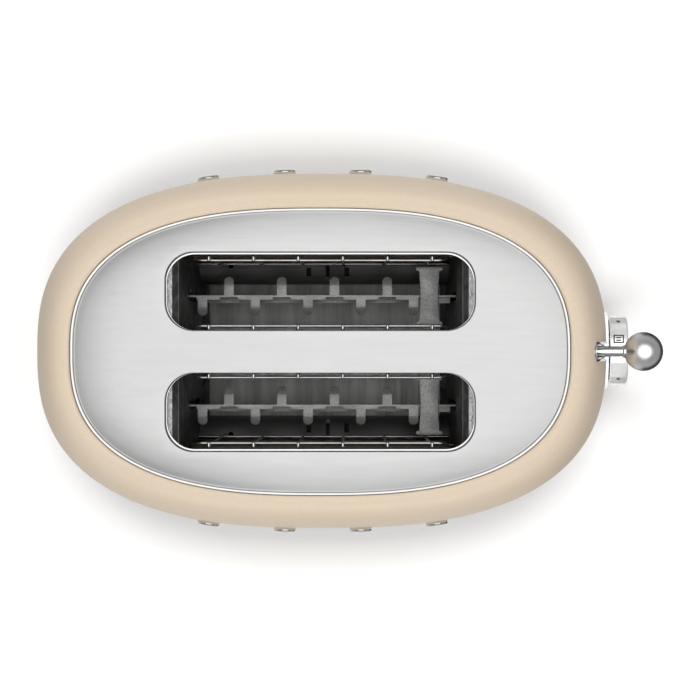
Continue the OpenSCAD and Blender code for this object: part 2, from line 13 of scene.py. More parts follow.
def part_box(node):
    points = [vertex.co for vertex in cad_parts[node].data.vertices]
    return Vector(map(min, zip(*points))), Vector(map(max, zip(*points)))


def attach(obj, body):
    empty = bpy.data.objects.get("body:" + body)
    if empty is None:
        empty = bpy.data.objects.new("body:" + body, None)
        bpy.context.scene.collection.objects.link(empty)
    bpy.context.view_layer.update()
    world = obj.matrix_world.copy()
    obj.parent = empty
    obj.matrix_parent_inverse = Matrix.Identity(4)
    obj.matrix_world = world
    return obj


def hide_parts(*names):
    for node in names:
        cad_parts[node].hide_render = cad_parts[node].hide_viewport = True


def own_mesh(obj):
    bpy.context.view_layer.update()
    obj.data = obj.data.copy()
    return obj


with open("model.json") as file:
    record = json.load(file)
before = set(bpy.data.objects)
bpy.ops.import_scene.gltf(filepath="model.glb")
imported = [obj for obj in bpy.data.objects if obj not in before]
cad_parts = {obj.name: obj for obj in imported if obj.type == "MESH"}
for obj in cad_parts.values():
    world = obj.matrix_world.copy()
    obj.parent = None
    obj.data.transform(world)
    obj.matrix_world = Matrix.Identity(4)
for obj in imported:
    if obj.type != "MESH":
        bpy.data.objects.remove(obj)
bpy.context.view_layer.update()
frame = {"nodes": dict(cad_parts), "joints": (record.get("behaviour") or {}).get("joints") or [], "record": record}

MM = 0.001
record = frame["record"]
SLOT_OF = {s["node"]: s["material_slot"] for s in record["subparts"]}
BODY_OF = {n: body for body, ns in record["behaviour"]["bodies"].items() for n in ns}
JOINT = {j["name"]: j for j in frame["joints"]}

# ---------- the shell's form, from the CAD boxes ----------
OVAL_POWER = 2.6
SHOULDER_POWER = 2.5
LEAN_SHARE = 0.2
HEM_ROLL = 4 * MM
SHELL_T = 1.2 * MM
COVER_GAP = 0.2 * MM

shell_lo, shell_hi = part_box("body_shell")
ring_lo, ring_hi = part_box("top_trim_ring")
CX = (shell_lo.x + shell_hi.x) / 2
HALF_L, HALF_W = (shell_hi.x - shell_lo.x) / 2, (shell_hi.y - shell_lo.y) / 2
CREST, HEM = shell_hi.z, shell_lo.z + HEM_ROLL
MOUTH_L = (ring_hi.x - ring_lo.x) / 2 + COVER_GAP
MOUTH_W = (ring_hi.y - ring_lo.y) / 2 + COVER_GAP
CREST_L, CREST_W = MOUTH_L + SHELL_T + COVER_GAP, MOUTH_W + SHELL_T + COVER_GAP


def lean_at(z):
    """How far the wall has leaned in at height z: 0 at the hem, 1 at the crest."""
    t = (z - HEM) / (CREST - HEM)
    curve = 1 - (1 - max(t, 0) ** SHOULDER_POWER) ** (1 / SHOULDER_POWER)
    return (1 - LEAN_SHARE) * curve + LEAN_SHARE * t


def wall_x(z):
    """The end wall's distance from the middle at height z."""
    return HALF_L - (HALF_L - CREST_L) * lean_at(z)


def wall_out(z, d):
    """(x, z) of the end wall's middle line at height z, moved out along its normal by d."""
    s = (wall_x(z + MM / 2) - wall_x(z - MM / 2)) / MM
    n = math.hypot(1, s)
    return wall_x(z) + d / n, z - s * d / n


# ---------- mesh building ----------
def oval(a, b, z, n=320):
    """Points round a superellipse of half axes a and b."""
    t = np.linspace(0, 2 * math.pi, n, endpoint=False)
    c, s = np.cos(t), np.sin(t)
    p = 2 / OVAL_POWER
    return np.stack(
        [
            CX + a * np.sign(c) * np.abs(c) ** p,
            b * np.sign(s) * np.abs(s) ** p,
            np.full(n, z),
        ],
        axis=1,
    )


def smooth(mesh, sharp):
    """Smooth shading, except over edges of more than sharp degrees."""
    mesh.polygons.foreach_set("use_smooth", [True] * len(mesh.polygons))
    mesh.set_sharp_from_angle(angle=math.radians(sharp))


def mesh_object(name, verts, faces):
    mesh = bpy.data.meshes.new(name)
    mesh.from_pydata([tuple(map(float, v)) for v in verts], [], faces)
    mesh.validate()
    return object_of(name, mesh)


def object_of(name, mesh, sharp=50):
    smooth(mesh, sharp)
    obj = bpy.data.objects.new(name, mesh)
    bpy.context.scene.collection.objects.link(obj)
    return obj


def loft(rings, close_profile=False, caps=False, offset=0):
    """Quads between neighbouring rings of equal length."""
    m, n = len(rings), len(rings[0])
    verts = [v for ring in rings for v in ring]
    faces = []
    for i in range(m if close_profile else m - 1):
        a, b = i * n, ((i + 1) % m) * n
        for k in range(n):
            q = (k + 1) % n
            faces.append([offset + a + k, offset + a + q, offset + b + q, offset + b + k])
    if caps:
        faces.append([offset + k for k in range(n - 1, -1, -1)])
        faces.append([offset + (m - 1) * n + k for k in range(n)])
    return verts, faces


class Build:
    """Collects islands of geometry into one mesh."""

    def __init__(self):
        self.verts, self.faces = [], []

    def add(self, rings, **kw):
        v, f = loft(rings, offset=len(self.verts), **kw)
        self.verts += list(v)
        self.faces += f
        return self

    def done(self, name, sharp=50):
        mesh = bpy.data.meshes.new(name)
        mesh.from_pydata([tuple(map(float, v)) for v in self.verts], [], self.faces)
        bm = bmesh.new()
        bm.from_mesh(mesh)
        bmesh.ops.remove_doubles(bm, verts=bm.verts, dist=1e-7)
        bmesh.ops.recalc_face_normals(bm, faces=bm.faces)
        bm.to_mesh(mesh)
        bm.free()
        return object_of(name, mesh, sharp)


def circle_ring(r, z, n):
    t = np.linspace(0, 2 * math.pi, n, endpoint=False)
    return np.stack([r * np.cos(t), r * np.sin(t), np.full(n, z)], axis=1)


def placed(ring, place):
    return [tuple(place @ Vector(p)) for p in ring]


def lathe(build, profile, place, n=96, closed=False):
    """Turns a profile of (radius, height) about the place's own Z axis."""
    rings = [placed(circle_ring(max(r, 1e-6), z, n), place) for r, z in profile]
    return build.add(rings, close_profile=closed, caps=not closed)


def arc(x, y, r, start, stop, steps):
    """Points on an arc about (x, y), from angle start to stop in radians."""
    return [(x + r * math.cos(a), y + r * math.sin(a)) for a in np.linspace(start, stop, steps)]


ASKEW = (0.3, 0.5, 0.81)  # a direction that no wire here runs in
WIRE_DOME = 0.7  # height of a wire's domed end, as a share of its radius
DOME_ANGLES = (20, 45, 80)


def tube(build, path, r, sides=14):
    """A round wire along a path, with domed ends."""
    p = np.array(path, float)
    t = np.gradient(p, axis=0)
    t /= np.linalg.norm(t, axis=1)[:, None]
    u = np.cross(t[0], ASKEW)
    u /= np.linalg.norm(u)
    angles = np.linspace(0, 2 * math.pi, sides, endpoint=False)

    def ring(at, axis, side, radius):
        v = np.cross(axis, side)
        return [at + radius * (math.cos(a) * side + math.sin(a) * v) for a in angles]

    def dome(i, way):
        """Rings that close the wire's end at point i, from the widest outwards."""
        steps = [math.radians(a) for a in DOME_ANGLES]
        return [
            ring(p[i] + way * t[i] * r * WIRE_DOME * math.sin(k), t[i], u, r * math.cos(k))
            for k in steps
        ]

    rings = []
    for i in range(len(p)):
        u = u - t[i] * (u @ t[i])
        u /= np.linalg.norm(u)
        if i == 0:
            rings += dome(i, -1)[::-1]
        rings.append(ring(p[i], t[i], u, r))
        if i == len(p) - 1:
            rings += dome(i, 1)
    return build.add(rings, caps=True)


BEVEL_FROM = 30  # degrees between two faces, above which their edge is rounded
BEVEL_SEGMENTS = 2
FLAT_WITHIN = 0.5  # degrees between facets that are joined
WELD = 2e-6


def bevelled(cad_mesh, width, worn_and_highlit):
    """Welds a mesh, joins its flat facets and rounds its edges; the last argument marks the rounded edges for the
    bright finish of wear and painted highlights.
    """
    bm = bmesh.new()
    bm.from_mesh(cad_mesh)
    bmesh.ops.remove_doubles(bm, verts=bm.verts, dist=WELD)
    bmesh.ops.dissolve_limit(
        bm, angle_limit=math.radians(FLAT_WITHIN), verts=bm.verts, edges=bm.edges
    )
    edges = [
        e
        for e in bm.edges
        if len(e.link_faces) == 2 and e.calc_face_angle(0) > math.radians(BEVEL_FROM)
    ]
    made = bmesh.ops.bevel(
        bm,
        geom=edges,
        offset=width,
        segments=BEVEL_SEGMENTS,
        affect="EDGES",
        profile=0.5,
        clamp_overlap=True,
    )
    # The rounded edges take the second, brighter finish: wear with painted highlights
    if worn_and_highlit:
        for face in made["faces"]:
            face.material_index = 1
    bmesh.ops.triangulate(bm, faces=[f for f in bm.faces if len(f.verts) > 4])
    mesh = bpy.data.meshes.new("bevelled")
    bm.to_mesh(mesh)
    bm.free()
    return mesh


def stand_for(obj, *nodes, material=None):
    """obj is shown in place of these CAD nodes, and takes their body, slot and finish."""
    node = nodes[0]
    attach(obj, BODY_OF[node])
    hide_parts(*nodes)
    obj.data.materials.clear()
    obj.data.materials.append(material or FINISH[SLOT_OF[node]])
    return obj


def formed(node, width, edge=None):
    """The CAD node's own form with rounded edges, in their own finish where one is named."""
    mesh = bevelled(frame["nodes"][node].data, width, worn_and_highlit=edge is not None)
    stand_for(object_of(node + "_formed", mesh, sharp=35), node)
    if edge:
        mesh.materials.append(FINISH[edge])


def cut(obj, cutter):
    """Takes the cutter's volume out of obj and drops the cutter."""
    mod = obj.modifiers.new("cut", "BOOLEAN")
    mod.object, mod.operation, mod.solver = cutter, "DIFFERENCE", "EXACT"
    bpy.context.view_layer.update()
    mesh = bpy.data.meshes.new_from_object(
        obj.evaluated_get(bpy.context.evaluated_depsgraph_get())
    )
    obj.modifiers.clear()
    obj.data = mesh
    bpy.data.objects.remove(cutter)
    smooth(mesh, sharp=40)


# ---------- finishes ----------
class Nodes:
    """A material's node tree, written as small expressions."""

    def __init__(self, name, colour, metallic, roughness):
        self.material = bpy.data.materials.new(name)
        self.material.use_nodes = True
        self.tree = self.material.node_tree
        self.shader = self.tree.nodes["Principled BSDF"]
        self.shader.inputs["Base Color"].default_value = (*colour, 1)
        self.shader.inputs["Metallic"].default_value = metallic
        self.shader.inputs["Roughness"].default_value = roughness
        self.material.diffuse_color = (*colour, 1)
        self.coords = self.node("ShaderNodeTexCoord").outputs["Object"]

    def node(self, kind, **settings):
        n = self.tree.nodes.new(kind)
        for key, value in settings.items():
            setattr(n, key, value)
        return n

    def link(self, a, b):
        self.tree.links.new(a, b)

    def noise(self, scale, stretch=(1, 1, 1), detail=4.0, rough=0.55):
        m = self.node("ShaderNodeMapping")
        m.inputs["Scale"].default_value = stretch
        n = self.node("ShaderNodeTexNoise")
        n.inputs["Scale"].default_value = scale
        n.inputs["Detail"].default_value = detail
        n.inputs["Roughness"].default_value = rough
        self.link(self.coords, m.inputs["Vector"])
        self.link(m.outputs["Vector"], n.inputs["Vector"])
        return n.outputs["Fac"]

    def cells(self, scale, stretch=(1, 1, 1)):
        m = self.node("ShaderNodeMapping")
        m.inputs["Scale"].default_value = stretch
        n = self.node("ShaderNodeTexVoronoi")
        n.inputs["Scale"].default_value = scale
        self.link(self.coords, m.inputs["Vector"])
        self.link(m.outputs["Vector"], n.inputs["Vector"])
        return n.outputs["Color"]

    def ramp(self, value, low, high, at=(0.35, 0.65)):
        r = self.node("ShaderNodeMapRange")
        r.inputs["From Min"].default_value = at[0]
        r.inputs["From Max"].default_value = at[1]
        r.inputs["To Min"].default_value = low
        r.inputs["To Max"].default_value = high
        self.link(value, r.inputs["Value"])
        return r.outputs["Result"]

    def mix(self, value, one, two, at=(0.35, 0.65)):
        m = self.node("ShaderNodeMix", data_type="RGBA")
        m.inputs["A"].default_value = (*one, 1)
        m.inputs["B"].default_value = (*two, 1)
        self.link(self.ramp(value, 0, 1, at), m.inputs["Factor"])
        return m.outputs["Result"]

    def colour(self, value, one, two, at=(0.35, 0.65)):
        self.link(self.mix(value, one, two, at), self.shader.inputs["Base Color"])
        return self

    def rough(self, value, low, high, at=(0.35, 0.65)):
        self.link(self.ramp(value, low, high, at), self.shader.inputs["Roughness"])
        return self

    def bump(self, value, height, strength=1.0):
        b = self.node("ShaderNodeBump")
        b.inputs["Distance"].default_value = height
        b.inputs["Strength"].default_value = strength
        self.link(value, b.inputs["Height"])
        old = self.shader.inputs["Normal"]
        if old.is_linked:
            self.link(old.links[0].from_socket, b.inputs["Normal"])
        self.link(b.outputs["Normal"], old)
        return self

    def set(self, **values):
        for key, value in values.items():
            self.shader.inputs[key.replace("_", " ")].default_value = value
        return self


def shade(c, k):
    return tuple(min(1.0, x * k) for x in c)


def make_finishes():
    made = {}

    def keep(slot, nodes):
        made[slot] = nodes.material
        return nodes

    # Powder coat with a fine metallic grain, and a faint orange peel
    c = (0.418, 0.348, 0.270)
    n = keep("champagne_shell", Nodes("champagne_powder_coat", c, 0.12, 0.5))
    n.colour(n.noise(2600, detail=2), shade(c, 0.94), shade(c, 1.06))
    n.rough(n.noise(60), 0.47, 0.54)
    n.bump(n.noise(900, detail=2), 0.00002, 0.3)
    n.bump(n.noise(4200, detail=1), 0.000008, 0.25)
    n.set(Specular_IOR_Level=0.1)

    # Satin steel, brushed along the slots
    c = (0.72, 0.72, 0.717)
    n = keep("deck_steel", Nodes("satin_deck_steel", c, 1.0, 0.3))
    brush = n.noise(60, (1, 60, 60), detail=5)
    n.colour(n.noise(30, (1, 12, 12)), shade(c, 0.985), shade(c, 1.015))
    n.rough(brush, 0.28, 0.34)
    n.bump(brush, 0.000006, 0.3)
    n.set(Anisotropic=0.4)

    # Chrome, and the slots' lips: polished where the light falls, and painted dark inside as painted shade
    c = (0.86, 0.855, 0.84)
    n = keep("bright_trim", Nodes("polished_chrome", c, 1.0, 0.07))
    n.rough(n.noise(150), 0.05, 0.11)
    n.colour(n.noise(90), shade(c, 0.97), shade(c, 1.02))
    n.bump(n.noise(420, detail=2), 0.00001, 0.15)

    c = (0.92, 0.92, 0.915)
    n = keep("lip", Nodes("polished_slot_lip", c, 1.0, 0.12))
    n.rough(n.noise(150), 0.09, 0.16)
    n.colour(n.noise(90), shade(c, 0.97), shade(c, 1.02))
    # The lip's inner wall: a near-black metal that is painted shade
    c = (0.07, 0.068, 0.064)
    n = keep("lip_wall_painted_shade", Nodes("dark_lip_wall_painted_shade", c, 0.9, 0.35))
    n.rough(n.noise(200), 0.3, 0.45)
    n.colour(n.noise(120), shade(c, 0.8), shade(c, 1.3))

    # Edges rubbed by bread and painted bright as highlights, and the end walls' scuffed flanges painted lighter as
    # lit tops
    n = keep("worn_edge_painted_highlight", Nodes("worn_edge_painted_highlight", (0.85, 0.85, 0.84), 1.0, 0.3))
    n.rough(n.noise(900), 0.24, 0.36)
    n.colour(n.noise(700), (0.75, 0.75, 0.745), (0.98, 0.98, 0.97))
    # The end walls' tops: scuffed, and painted lighter than the wall below as lit faces
    c = (0.62, 0.62, 0.615)
    n = keep("flange", Nodes("scuffed_flange_painted_light", c, 0.8, 0.4))
    scuffs = n.noise(500, (3, 1, 1), detail=6, rough=0.75)
    n.colour(scuffs, shade(c, 0.3), shade(c, 1.3))
    n.bump(scuffs, 0.0001, 0.6)

    c = (0.76, 0.75, 0.735)
    n = keep("band_steel", Nodes("polished_band_steel", c, 1.0, 0.2))
    n.rough(n.noise(80, (3, 3, 40)), 0.16, 0.27)
    n.colour(n.noise(40), shade(c, 0.95), shade(c, 1.03))
    n.bump(n.noise(90, (1, 1, 30)), 0.000012, 0.25)

    # Moulded plastics, rubber and ceramic
    def moulded(slot, name, c, low, high, grain=1300):
        n = keep(slot, Nodes(name, c, 0.0, (low + high) / 2))
        n.colour(n.noise(grain / 6), shade(c, 0.85), shade(c, 1.18))
        n.rough(n.noise(grain / 8), low, high)
        n.bump(n.cells(grain), 0.00004, 0.35)
        return n

    moulded("base_plastic", "black_spark_textured_plastic", (0.018, 0.018, 0.02), 0.5, 0.68)
    moulded("foot_rubber", "black_rubber", (0.014, 0.014, 0.014), 0.75, 0.9, 700)
    moulded("encoder_body", "encoder_plastic", (0.02, 0.05, 0.03), 0.4, 0.55)
    n = moulded("ring_plastic", "light_guide_plastic", (0.86, 0.88, 0.87), 0.18, 0.3, 400)
    n.set(Subsurface_Weight=0.35, Subsurface_Scale=0.003, Transmission_Weight=0.15)
    moulded("pale_plastic", "off_white_plastic", (0.62, 0.62, 0.57), 0.3, 0.42)
    moulded("component_mix", "component_cases", (0.025, 0.028, 0.05), 0.25, 0.45, 500)
    moulded("terminal_ceramic", "ivory_terminal", (0.66, 0.62, 0.52), 0.2, 0.35, 500)

    # Drawn, rolled and plated metals
    def sheet(slot, name, c, low, high, stretch=(1, 1, 1), scale=120, height=0.00002, metallic=1.0):
        n = keep(slot, Nodes(name, c, metallic, (low + high) / 2))
        grain = n.noise(scale, stretch, detail=5)
        n.colour(n.noise(scale / 3, stretch), shade(c, 0.82), shade(c, 1.12))
        n.rough(grain, low, high)
        n.bump(grain, height, 0.35)
        return n

    n = sheet(
        "tray_steel", "aluminised_tray", (0.56, 0.56, 0.555), 0.28, 0.5,
        stretch=(40, 1, 1), scale=14, metallic=0.5,
    )
    streaks = n.noise(6, (14, 1, 1), detail=6, rough=0.7)
    n.colour(streaks, (0.5, 0.5, 0.496), (0.88, 0.88, 0.87))
    n = sheet("chassis_steel", "galvanised_sheet", (0.11, 0.11, 0.109), 0.4, 0.6, metallic=0.7)
    n.colour(n.cells(260), (0.07, 0.07, 0.07), (0.14, 0.14, 0.139), (0.1, 0.9))
    sheet(
        "reflector_sheet", "reflector_sheet", (0.19, 0.189, 0.187), 0.34, 0.5,
        stretch=(1, 1, 30), scale=40, metallic=0.5,
    )
    sheet("guard_wire", "drawn_wire", (0.95, 0.945, 0.935), 0.16, 0.22, scale=300)
    n = sheet("carriage_steel", "zinc_plated_strip", (0.26, 0.258, 0.252), 0.4, 0.55, metallic=0.7)
    spangle = n.noise(1500, detail=3, rough=0.7)
    n.colour(spangle, (0.24, 0.239, 0.236), (0.56, 0.557, 0.55), (0.3, 0.7))
    sheet("rod_steel", "ground_rod", (0.70, 0.70, 0.69), 0.12, 0.22, (30, 30, 1), 60)
    sheet("spring_steel", "spring_wire", (0.36, 0.36, 0.36), 0.3, 0.42, scale=400)
    sheet(
        "satin_chrome", "satin_chrome", (0.76, 0.755, 0.74), 0.13, 0.2,
        scale=220, height=0.000004,
    )
    n = sheet(
        "ball", "soft_chrome_ball", (0.9, 0.898, 0.89), 0.3, 0.36,
        scale=220, height=0.000003,
    )
    n.set(Specular_Tint=(0.35, 0.35, 0.35, 1))
    sheet(
        "knob", "satin_chrome_knob", (0.9, 0.9, 0.895), 0.1, 0.16,
        scale=220, height=0.000001, metallic=0.65,
    )
    sheet("screw_steel", "zinc_screw", (0.50, 0.50, 0.50), 0.28, 0.42, scale=500)
    sheet("brass_bar", "brass_strip", (0.62, 0.45, 0.19), 0.28, 0.42)
    sheet("resistance_ribbon", "resistance_ribbon", (0.20, 0.18, 0.165), 0.4, 0.6, scale=600)

    # Mica: soft golden layers with small bright flakes
    c = (0.17, 0.13, 0.085)
    n = keep("mica_card", Nodes("mica_card", c, 0.1, 0.5))
    n.colour(n.noise(70, (1, 1, 2), detail=8, rough=0.7), shade(c, 0.6), shade(c, 1.35))
    n.rough(n.cells(420), 0.3, 0.65, (0.1, 0.9))
    n.bump(n.noise(240), 0.00006, 0.5)

    c = (0.36, 0.05, 0.03)
    n = keep("lead_sleeve", Nodes("woven_sleeve", c, 0.0, 0.8))
    n.colour(n.cells(1500), shade(c, 0.6), shade(c, 1.4), (0.1, 0.9))
    n.bump(n.cells(1500), 0.00015, 0.6)

    c = (0.02, 0.115, 0.05)
    n = keep("circuit_board", Nodes("circuit_board", c, 0.0, 0.35))
    n.colour(n.noise(300, (3, 1, 1), detail=1), shade(c, 0.75), shade(c, 1.5), (0.45, 0.5))
    n.rough(n.noise(90), 0.28, 0.42)

    c = (0.55, 0.24, 0.10)
    n = keep("coil_copper", Nodes("copper_winding", c, 0.9, 0.3))
    turns = n.noise(30, (1, 1, 60), detail=1)
    n.colour(turns, shade(c, 0.55), shade(c, 1.1))
    n.bump(turns, 0.0001, 0.6)

    c = (0.03, 0.03, 0.032)
    n = keep("ink", Nodes("printed_marks", c, 0.0, 0.5))
    n.colour(n.noise(900), shade(c, 0.8), shade(c, 1.3))
    return made


FINISH = make_finishes()


# ---------- covers ----------
def shoulder(angle, d):
    """One oval of the shoulder, drawn in by d from the outer face."""
    t = math.sin(angle) ** (2 / SHOULDER_POWER)
    s = (1 - LEAN_SHARE) * (1 - math.cos(angle) ** (2 / SHOULDER_POWER)) + LEAN_SHARE * t
    a, b = HALF_L - d, HALF_W - d
    return oval(
        a - (a - CREST_L) * s, b - (b - CREST_W) * s, HEM + (CREST - d - HEM) * t
    )


def prism_x(points, x0, x1):
    """A solid from an outline of (y, z) points, along X."""
    b = Build()
    b.add([[(x, y, z) for y, z in points] for x in (x0, x1)], caps=True)
    return b.done("cutter")


STADIUM_ARC_POINTS = 24
STADIUM_SIDE_POINTS = 40


def stadium(r, z0, z1):
    """An upright stadium's outline, as (y, z) points with its outward directions."""
    turn = np.linspace(0, math.pi, STADIUM_ARC_POINTS)
    top = [(math.cos(a), math.sin(a)) for a in turn]
    low = [(math.cos(a), math.sin(a)) for a in turn + math.pi]
    side = np.linspace(0, 1, STADIUM_SIDE_POINTS)[1:-1]
    out = [((c * r, z1 + s * r), (c, s)) for c, s in top]
    out += [((-r, z1 + (z0 - z1) * k), (-1, 0)) for k in side]
    out += [((c * r, z0 + s * r), (c, s)) for c, s in low]
    out += [((r, z0 + (z1 - z0) * k), (1, 0)) for k in side]
    return out


# The lever's slot, and the dial's frame: its axis as Z, from its joint's place
trim_lo, trim_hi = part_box("lever_slot_trim")
SLOT_R = (trim_hi.y - trim_lo.y) / 2
SLOT_FOOT, SLOT_TOP = trim_lo.z + SLOT_R, trim_hi.z - SLOT_R
SLOT_TRIM_W = 2 * MM
bezel_lo, bezel_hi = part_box("dial_bezel")
BEZEL_R = (bezel_hi.y - bezel_lo.y) / 2
DIAL_AXIS = Vector(JOINT["dial_turn"]["axis"]).normalized()
DIAL = Matrix.Translation(Vector(JOINT["dial_turn"]["pos_m"])) @ (
    Vector((0, 0, 1)).rotation_difference(DIAL_AXIS).to_matrix().to_4x4()
)

# The hem's ovals in mm: (drawn in from the widest oval, height above the hem's lowest edge)
HEM_OUTSIDE = ((1.1, 0.35), (0.8, 0), (0.55, 0.05), (0.3, 0.8), (0.1, 2))
HEM_INSIDE = ((1.8, 2), (1.5, 0.5))
# Inside the mouth, in mm under the crest: the straight wall's ovals and its lowest edge
MOUTH_DEPTHS, MOUTH_EDGE = (2.5, 4.5, 6.8), 7
SHOULDER_OVALS = 64
HOLE_CLEARANCE = 0.05 * MM


def body_shell():
    """The painted shell, thin all over, with holes for the lever's slot and the dial."""
    grow = np.linspace(0, math.pi / 2, SHOULDER_OVALS)
    low = HEM - HEM_ROLL
    rings = [oval(HALF_L - d * MM, HALF_W - d * MM, low + h * MM) for d, h in HEM_OUTSIDE]
    rings += [shoulder(a, 0) for a in grow[:-1]]
    r = SHELL_T + COVER_GAP
    for x, y in arc(r, -r, r, math.pi / 2 + 0.05, math.pi, 9):
        rings.append(oval(MOUTH_L + x, MOUTH_W + x, CREST + y))
    for depth in MOUTH_DEPTHS:
        rings.append(oval(MOUTH_L, MOUTH_W, CREST - depth * MM))
    rings.append(oval(MOUTH_L + SHELL_T / 2, MOUTH_W + SHELL_T / 2, CREST - MOUTH_EDGE * MM))
    rings.append(oval(MOUTH_L + SHELL_T, MOUTH_W + SHELL_T, CREST - MOUTH_DEPTHS[-1] * MM))
    rings += [shoulder(a, SHELL_T) for a in grow[::-2]]
    rings += [oval(HALF_L - d * MM, HALF_W - d * MM, low + h * MM) for d, h in HEM_INSIDE]
    obj = Build().add(rings, close_profile=True).done("body_shell_formed", 40)

    slot = [p for p, _ in stadium(SLOT_R + HOLE_CLEARANCE, SLOT_FOOT, SLOT_TOP)]
    cut(obj, prism_x(slot, CX + 120 * MM, CX + 180 * MM))
    hole_r, reach = BEZEL_R + HOLE_CLEARANCE, 20 * MM
    cut(obj, lathe(Build(), [(hole_r, -reach), (hole_r, reach)], DIAL).done("cutter"))
    stand_for(obj, "body_shell")


# ---------- the deck ----------
deck_lo, deck_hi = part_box("top_plate")
DECK_Z, LIP_FOOT = deck_hi.z, deck_lo.z
DECK_A, DECK_B = (deck_hi.x - deck_lo.x) / 2, (deck_hi.y - deck_lo.y) / 2
DECK_POINTS = 240
DOME_RISE, DOME_DROP, DOME_WIDTH = 1.4 * MM, 1.8 * MM, 27 * MM

# Half a slot's length and width, its corner and its place
SLOT_L, SLOT_W, SLOT_CORNER = 75 * MM, 19 * MM, 13.8 * MM
SLOT_Y = 29.25 * MM
SLOT_ARC_POINTS = 16

# A lip rolls over with radius LIP, runs down, and ends in a foot that reaches into the slot
LIP = 0.3 * MM
LIP_ROLL_OUTLINES = 9
# The foot's width on the slot's outer side, and the share of it at the ends and at the middle
LIP_FOOT_W, FOOT_AT_ENDS, FOOT_AT_MIDDLE = 0.9 * MM, 0.4, 0.15
# Down the inside: (mm above the lowest edge, share of the foot's width that it's drawn in)
LIP_INSIDE = ((4, 0), (0.6, 0.05), (0.52, 0.12), (0.5, 0.2), (0.48, 0.95), (0.4, 1))
# Round under the foot: (mm outside the opening, mm above the lowest edge, share drawn in)
LIP_UNDER = ((0.1, 0.15, 1), (0.5, 0, 0.5), (1, 0.4, 0))
# The rows of a lip's faces painted dark as shade, and those of its polished foot
DARK_ROWS, FOOT_ROWS = (7, 11), (11, 15)


def oval_level(x, y, a, b):
    """Below 1 inside the oval of half axes a and b, and 1 on it."""
    return abs(x / a) ** OVAL_POWER + abs(y / b) ** OVAL_POWER


def in_a_slot(x, y, grow):
    """Whether a point lies within grow of a slot's opening."""
    dx = max(abs(x) - (SLOT_L - SLOT_CORNER), 0)
    dy = max(abs(abs(y) - SLOT_Y) - (SLOT_W - SLOT_CORNER), 0)
    return math.hypot(dx, dy) < SLOT_CORNER + grow - 1e-6


def slot_outline(grow, z, y, draw=0.0):
    """A slot's outline at height z, drawn in by this share of the foot's width."""
    r = SLOT_CORNER + grow
    ring = []
    for k, (sx, sy) in enumerate(((1, 1), (-1, 1), (-1, -1), (1, -1))):
        share = 1.0 if sy * y > 0 else FOOT_AT_MIDDLE
        cx = CX + sx * (SLOT_L - SLOT_CORNER - draw * FOOT_AT_ENDS * LIP_FOOT_W)
        cy = y + sy * (SLOT_W - SLOT_CORNER - draw * share * LIP_FOOT_W)
        turn = (k * math.pi / 2, (k + 1) * math.pi / 2)
        ring += [(px, py, z) for px, py in arc(cx, cy, r, *turn, SLOT_ARC_POINTS)]
    return ring


def deck_face(build):
    """The deck's top as fine triangles that follow its rim and leave out the slots."""
    grid, grid_inset, grid_clear = 4 * MM, 5.5 * MM, 2 * MM
    loops = [oval(DECK_A, DECK_B, DECK_Z, DECK_POINTS)]
    loops += [slot_outline(LIP, DECK_Z, y) for y in (-SLOT_Y, SLOT_Y)]
    points, edges = [], []
    for loop in loops:
        first = len(points)
        points += [Vector((p[0], p[1])) for p in loop]
        edges += [(first + i, first + (i + 1) % len(loop)) for i in range(len(loop))]
    inner_a, inner_b = DECK_A - grid_inset, DECK_B - grid_inset
    for x in np.arange(-DECK_A, DECK_A, grid):
        for y in np.arange(-DECK_B, DECK_B, grid):
            if oval_level(x, y, inner_a, inner_b) < 1 and not in_a_slot(x, y, grid_clear):
                points.append(Vector((CX + x, y)))
    for d in (0.7 * MM, 1.6 * MM, 2.7 * MM, 4 * MM):
        points += [Vector((p[0], p[1])) for p in oval(DECK_A - d, DECK_B - d, 0, DECK_POINTS)]
    flat, _, triangles, *_ = delaunay_2d_cdt(points, edges, [], 0, 1e-7)
    build.verts = [(p.x, p.y, DECK_Z) for p in flat]
    for triangle in triangles:
        mid = sum((flat[i] for i in triangle), Vector((0, 0))) / len(triangle)
        x, y = mid.x - CX, mid.y
        if oval_level(x, y, DECK_A, DECK_B) < 1 and not in_a_slot(x, y, LIP):
            build.faces.append(list(triangle))


def slot_lip(build, y):
    """One slot's lip, from the deck's edge round to its back: gives its faces painted dark as shade, and its
    bright faces.
    """
    rings = [
        slot_outline(LIP * (1 - math.sin(t)), DECK_Z - LIP * (1 - math.cos(t)), y)
        for t in np.linspace(0, math.pi / 2, LIP_ROLL_OUTLINES)
    ]
    rings += [slot_outline(0, LIP_FOOT + h * MM, y, draw) for h, draw in LIP_INSIDE]
    rings += [slot_outline(d * MM, LIP_FOOT + h * MM, y, draw) for d, h, draw in LIP_UNDER]
    rings.append(slot_outline(1 * MM, DECK_Z - 2 * MM, y))
    rings.append(slot_outline(LIP, DECK_Z - 1 * MM, y))
    first, n = len(build.faces), len(rings[0])
    build.add(rings)
    return [range(first + start * n, first + stop * n) for start, stop in (DARK_ROWS, FOOT_ROWS)]


def domed(v):
    """Lifts a point by the deck's dome, which falls away near the rim."""
    x, y = v[0] - CX, v[1]
    share = oval_level(x, y, DECK_A, DECK_B) ** (1 / OVAL_POWER)
    from_rim = math.hypot(x, y) * max(1 - share, 0) / max(share, 1e-6)
    fall = max(1 - from_rim / DOME_WIDTH, 0) ** 2
    return (v[0], v[1], v[2] + DOME_RISE - DOME_DROP * fall)


